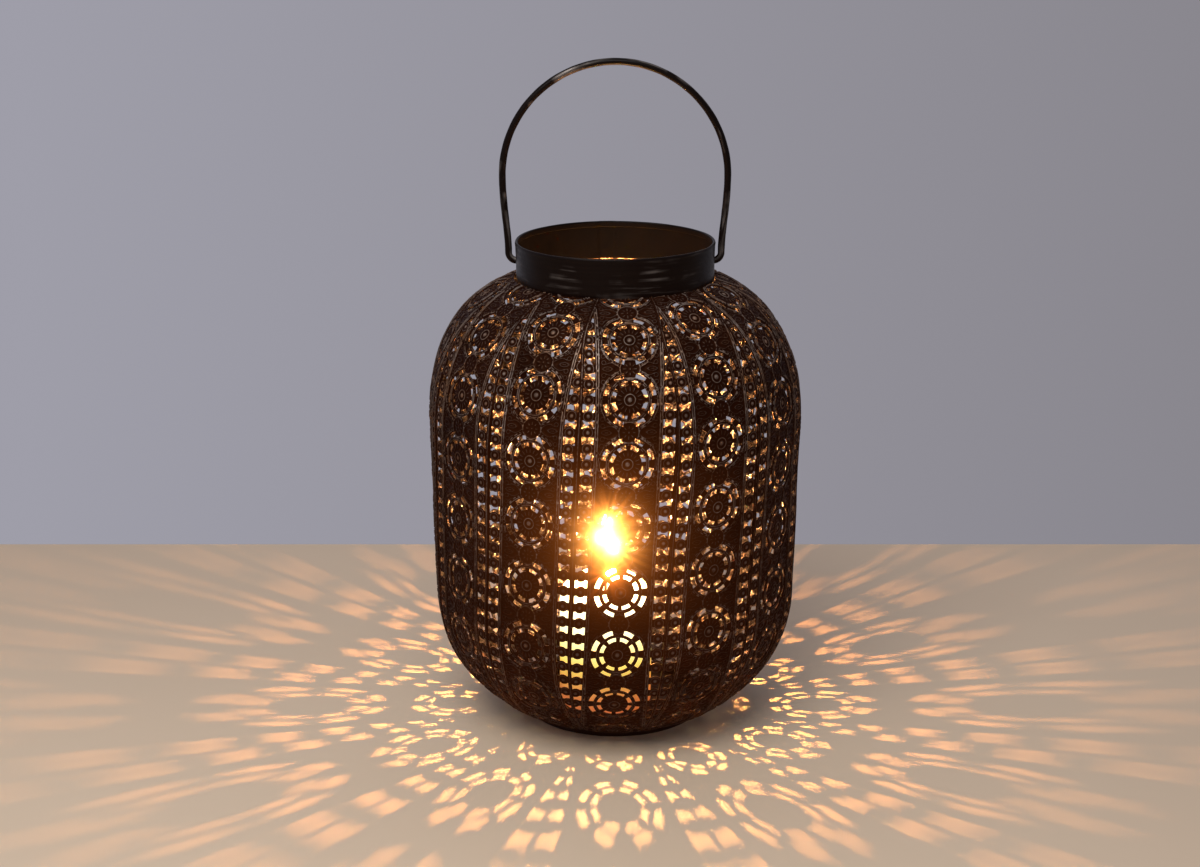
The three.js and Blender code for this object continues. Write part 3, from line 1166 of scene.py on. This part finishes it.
def bail_piece():
    """The wire: bent by hand, hammered a little, its two ends rounded."""
    right = bail_line()
    line = np.concatenate([right, (right * (-1, 1))[::-1][1:]])
    along = np.linspace(0, 1, len(line))
    ease = np.sin(along * math.pi)
    lean = BAIL_LEAN * np.sin(along * 9.5) * ease
    level = line[:, 1] + BAIL_SAG * np.sin(along * 14 + 1) * ease
    path = np.column_stack([line[:, 0], lean, level])
    hammered = 1 + HAMMER_DEPTH * (np.sin(along * 190) + np.sin(along * 83 + 1))
    from_end = np.clip(np.minimum(along, 1 - along) * BAIL_LENGTH, 0, 1)
    rounding = np.sqrt(np.clip(1 - (1 - from_end) ** 2, 0.05, 1))
    return sweep("bail_wire_arch", path, WIRE_RADIUS * hammered * rounding, WIRE_SIDES, (wire_lacquer,))


# ---------------------------------------------------------------- candle

CANDLE_RADIUS = 27.0
CANDLE_X = -5.1
CANDLE_LOW = 2.65
CANDLE_TOP = 71.0
CANDLE_FOOT_ROUND = 1.5
CANDLE_RIM_ROUND = 2.2
CANDLE_ROWS = 30
CANDLE_SHRINK = 0.2
RIM_RISE = 6.0
RIM_SINK = 0.4
RIM_RIPPLE = 0.15
RIM_SLOPE = 20.0
RIM_THIN = 0.3
POOL_RADIUS = 21.7
POOL_DEPTH = 2.6
POOL_STEEPNESS = 6
POOL_ROWS = 18
POOL_REACH = 2.0
AXIS_GAP = 0.02
AXIS_CALM = 5.0
WICK_LOW = CANDLE_TOP - POOL_DEPTH + 0.35
WICK_HEIGHT = 8.3
WICK_RADIUS = 0.85
WICK_CURL = 0.5
WICK_ROWS = 24
WICK_SIDES = 12
EMBER_START = 6.0
FLAME_LOW = 76.5
FLAME_HEIGHT = 43.0
FLAME_RADIUS = 7.5
FLAME_ROWS = 32
FLAME_SIDES = 24
FLAME_X = CANDLE_X + 0.5

# The flame shines as a column of small lights, so that its spots on the floor are streaks
LIGHT_COUNT = 10
LIGHT_LOW = 99.4
LIGHT_STEP = 0.8
LIGHT_RADIUS = 0.0013
FLAME_POWER = 4.5
FLAME_COLOUR = (1.0, 0.45, 0.14)


def candle_profile():
    foot = CANDLE_FOOT_ROUND
    rim = CANDLE_RIM_ROUND
    side = np.linspace(CANDLE_LOW + foot, CANDLE_TOP - rim - 0.2, CANDLE_ROWS)
    pool = np.linspace(POOL_RADIUS, AXIS_GAP, POOL_ROWS)
    depth = POOL_DEPTH * np.sqrt(1 - (pool / POOL_RADIUS) ** POOL_STEEPNESS)
    return [
        (AXIS_GAP, CANDLE_LOW),
        (CANDLE_RADIUS - foot, CANDLE_LOW),
        *round_corner((CANDLE_RADIUS - foot, CANDLE_LOW + foot), foot, -80, -10, 4),
        *((CANDLE_RADIUS, z) for z in side),
        *round_corner((CANDLE_RADIUS - rim, CANDLE_TOP - rim), rim, 10, 90, 6),
        (CANDLE_RADIUS - rim - 2.0, CANDLE_TOP - 0.1),
        *zip(pool, CANDLE_TOP - depth),
    ]


def candle_shape(turn, radius, z):
    """Softened, slightly uneven wax, its rim left standing higher at the back."""
    high = np.clip((z - CANDLE_TOP + RIM_SLOPE) / RIM_SLOPE, 0, 1) * (radius > POOL_RADIUS - POOL_REACH)
    back = np.clip(np.cos(turn), 0, 1) ** 2
    z = z + high * (RIM_RISE * back - RIM_SINK - RIM_RIPPLE * np.sin(4 * turn))
    soft = radius - CANDLE_SHRINK + waves(WAX_WAVES, turn, z) - RIM_THIN * high
    return np.where(radius > AXIS_CALM, soft, radius), z


def candle_piece():
    wax = polar_mesh("pillar_wax", candle_profile(), 96, (wax_material,), candle_shape, CANDLE_RADIUS)
    wax.data.transform(Matrix.Translation((CANDLE_X * MM, 0, 0)))
    return wax


def wick_piece():
    up = np.linspace(0, 1, WICK_ROWS)
    x = CANDLE_X + WICK_CURL * up**3
    y = 0.35 * np.sin(up * 2.2)
    path = np.column_stack([x, y, WICK_LOW + WICK_HEIGHT * up])
    rounding = np.sqrt(np.clip(1 - np.clip((up - 0.86) / 0.16, 0, 1) ** 2, 0.05, 1))
    twist = 1 + 0.09 * np.sin(up * 60)
    return sweep("charred_wick", path, WICK_RADIUS * rounding * twist, WICK_SIDES, (wick_material,))


def make_flame():
    """A drop-shaped flame that casts no shadow, with the lights that do its shining."""
    up = np.linspace(0, 1, FLAME_ROWS)
    belly = np.sin(math.pi * up**0.85) ** 0.9 * (1 - 0.35 * up)
    x = FLAME_X + 0.6 * np.sin(up * 2.5)
    path = np.column_stack([x, np.full(FLAME_ROWS, 0.1), FLAME_LOW + FLAME_HEIGHT * up])
    flame = sweep("flame", path, np.maximum(FLAME_RADIUS * belly, 0.05), FLAME_SIDES, (flame_material,))
    flame.visible_shadow = False
    flame.visible_diffuse = False
    flame.visible_glossy = False
    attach(flame, "candle")
    for number in range(LIGHT_COUNT):
        name = f"flame_light_{number + 1}"
        data = bpy.data.lights.new(name, "POINT")
        data.energy = FLAME_POWER / LIGHT_COUNT
        data.color = FLAME_COLOUR
        data.shadow_soft_size = LIGHT_RADIUS
        light = bpy.data.objects.new(name, data)
        light.location = Vector((FLAME_X, 0.0, LIGHT_LOW + number * LIGHT_STEP)) * MM
        bpy.context.scene.collection.objects.link(light)
        light.parent = flame
        light.matrix_parent_inverse = flame.matrix_world.inverted()


# ---------------------------------------------------------------- all the pieces

lacquer = stamped_lacquer()
lining = glinting_metal("lining_painted_glints", LINING_GLINT, INSIDE_DARK)
cut_edge = glinting_metal("cut_edge", COPPER, INSIDE_DARK)
band_lacquer = brushed_lacquer("band_lacquer", BAND_BRUSH, 0.32)
wire_lacquer = brushed_lacquer("wire_lacquer", WIRE_BRUSH, 0.9)
dark_inside = inside_lacquer()
wax_material = glowing_wax()
wick_material = charred_fibre()
flame_material = flame_glow()


def settle(piece, body, node):
    """Puts a piece on its body, in the place of the CAD node that it details."""
    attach(piece, body)
    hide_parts(node)


def make_gores():
    for i, (shift, push) in enumerate(zip(GORE_SHIFTS, GORE_PUSHES)):
        name = f"panel_{i + 1:02d}"
        middle_turn = FIRST_GORE_TURN + i * FULL_TURN / GORE_COUNT
        pattern = Pattern(shift, push)
        gore = gore_piece(f"stamped_{name}", pattern, middle_turn, (lacquer, lining, cut_edge))
        settle(gore, "lantern", name)


def make_collar():
    profile = np.array(collar_profile())
    middles = (profile + np.roll(profile, -1, axis=0)) / 2
    inside = (middles[:, 0] < COLLAR_RADIUS - BAND + 0.05) & (middles[:, 1] < COLLAR_TOP - 0.6)
    lower_edge = middles[:, 1] < COLLAR_LOW + 0.6
    slots = np.where(lower_edge, 2, np.where(inside, 1, 0))
    finishes = (band_lacquer, dark_inside, cut_edge)
    collar = polar_mesh("neck_collar", profile, 288, finishes, collar_shape, COLLAR_RADIUS, slots)
    drill(collar, PIVOT_HOLE, PIVOT_HEIGHT, DRILL_LENGTH)
    unroll(collar, COLLAR_RADIUS)
    settle(collar, "lantern", "collar_band")


def make_base():
    foot = polar_mesh("foot", foot_profile(), 240, (band_lacquer,), foot_shape, FOOT_RADIUS)
    plate = polar_mesh("floor_dish", plate_profile(), 144, (band_lacquer,), plate_shape, FOOT_RADIUS)
    settle(foot, "lantern", "foot_ring")
    settle(plate, "lantern", "floor_plate")


make_gores()
make_collar()
make_base()
settle(bail_piece(), "bail", "bail_handle")
settle(candle_piece(), "candle", "candle_wax")
settle(wick_piece(), "candle", "candle_wick")
make_flame()

# ---------------------------------------------------------------- stage, light and camera

FLOOR_LOW = (-3.0, -4.0)
FLOOR_HIGH = (3.0, 0.284)
FLOOR_PALE = (0.665, 0.525, 0.385)
FLOOR_SHADE = (0.63, 0.49, 0.355)
BACKDROP_LEFT = (0.345, 0.34, 0.395)
BACKDROP_RIGHT = (0.245, 0.235, 0.262)
SENSOR = 36.0
FOCAL_LENGTHS = 1.8444
CAMERA_DISTANCE = 1.2139
CAMERA_HEIGHT = 0.5179
CAMERA_PITCH = math.radians(16.208)
AXIS_SHIFT = 0.0083

# Glare starts above this brightness, which only the flame reaches
FLAME_ONLY = 220.0
BLOOMS = (
    {"Size": 0.05, "Strength": 0.25, "Tint": (1.0, 0.62, 0.28)},
    {"Size": 0.2, "Strength": 0.14, "Tint": (1.0, 0.36, 0.09)},
    {"Size": 0.6, "Strength": 0.07, "Tint": (1.0, 0.25, 0.04)},
)
RAYS = {"Streaks": 14, "Strength": 0.03, "Fade": 0.86, "Color Modulation": 0.0, "Tint": (1.0, 0.4, 0.1)}


def make_floor():
    """A plain pale floor that ends in a straight edge behind the lantern."""
    west, south = FLOOR_LOW
    east, north = FLOOR_HIGH
    corners = [(west, south, 0.0), (east, south, 0.0), (east, north, 0.0), (west, north, 0.0)]
    mesh = bpy.data.meshes.new("floor")
    mesh.from_pydata(corners, [], [(0, 1, 2, 3)])
    floor = bpy.data.objects.new("floor", mesh)
    bpy.context.scene.collection.objects.link(floor)
    material, tree, shader = new_material("floor")
    clouds = remap(tree, noise(tree, scale=2.2, detail=3), start=0.3, end=0.7)
    dress(tree, shader, {"Base Color": mix_colour(tree, clouds, FLOOR_PALE, FLOOR_SHADE), "Roughness": 0.65})
    mesh.materials.append(material)


def area_light(name, where, target, size, energy, colour):
    data = bpy.data.lights.new(name, "AREA")
    data.size = size
    data.energy = energy
    data.color = colour
    light = bpy.data.objects.new(name, data)
    light.location = where
    light.rotation_euler = (Vector(target) - Vector(where)).to_track_quat("-Z", "Y").to_euler()
    bpy.context.scene.collection.objects.link(light)


def make_world():
    """A plain pale grey backdrop all round, a little darker to the right."""
    world = bpy.data.worlds.new("studio")
    world.use_nodes = True
    tree = world.node_tree
    split = tree.nodes.new("ShaderNodeSeparateXYZ")
    direction = tree.nodes.new("ShaderNodeTexCoord").outputs["Generated"]
    give(tree, split.inputs["Vector"], direction)
    side = remap(tree, split.outputs["X"], start=-0.25, end=0.3)
    colour = mix_colour(tree, side, BACKDROP_LEFT, BACKDROP_RIGHT)
    give(tree, tree.nodes["Background"].inputs["Color"], colour)
    bpy.context.scene.world = world


def make_camera():
    data = bpy.data.cameras.new("camera")
    data.sensor_width = SENSOR
    data.lens = SENSOR * FOCAL_LENGTHS
    camera = bpy.data.objects.new("camera", data)
    camera.location = (-AXIS_SHIFT, -CAMERA_DISTANCE, CAMERA_HEIGHT)
    camera.rotation_euler = (math.pi / 2 - CAMERA_PITCH, 0, 0)
    bpy.context.scene.collection.objects.link(camera)
    bpy.context.scene.camera = camera


def add_glare():
    """The bloom and short rays that a lens shows round a bare flame."""
    scene = bpy.context.scene
    scene.use_nodes = True
    tree = scene.node_tree
    tree.nodes.clear()
    image = tree.nodes.new("CompositorNodeRLayers").outputs["Image"]
    for kind, settings in (*(("BLOOM", bloom) for bloom in BLOOMS), ("STREAKS", RAYS)):
        glare = tree.nodes.new("CompositorNodeGlare")
        glare.glare_type = kind
        glare.quality = "HIGH"
        dress(tree, glare, {"Image": image, "Threshold": FLAME_ONLY, **settings})
        image = glare.outputs["Image"]
    give(tree, tree.nodes.new("CompositorNodeComposite").inputs["Image"], image)


make_floor()
make_world()
area_light("key", (-0.26, -0.75, 1.02), (-0.18, -0.5, 0), size=0.8, energy=10.5, colour=(1.0, 0.98, 0.93))
area_light("top", (0.2, 0.9, 1.5), (0, 0, 0.2), size=1.2, energy=1.5, colour=(0.96, 0.97, 1.0))
make_camera()
add_glare()
bpy.context.scene.view_settings.view_transform = "Standard"
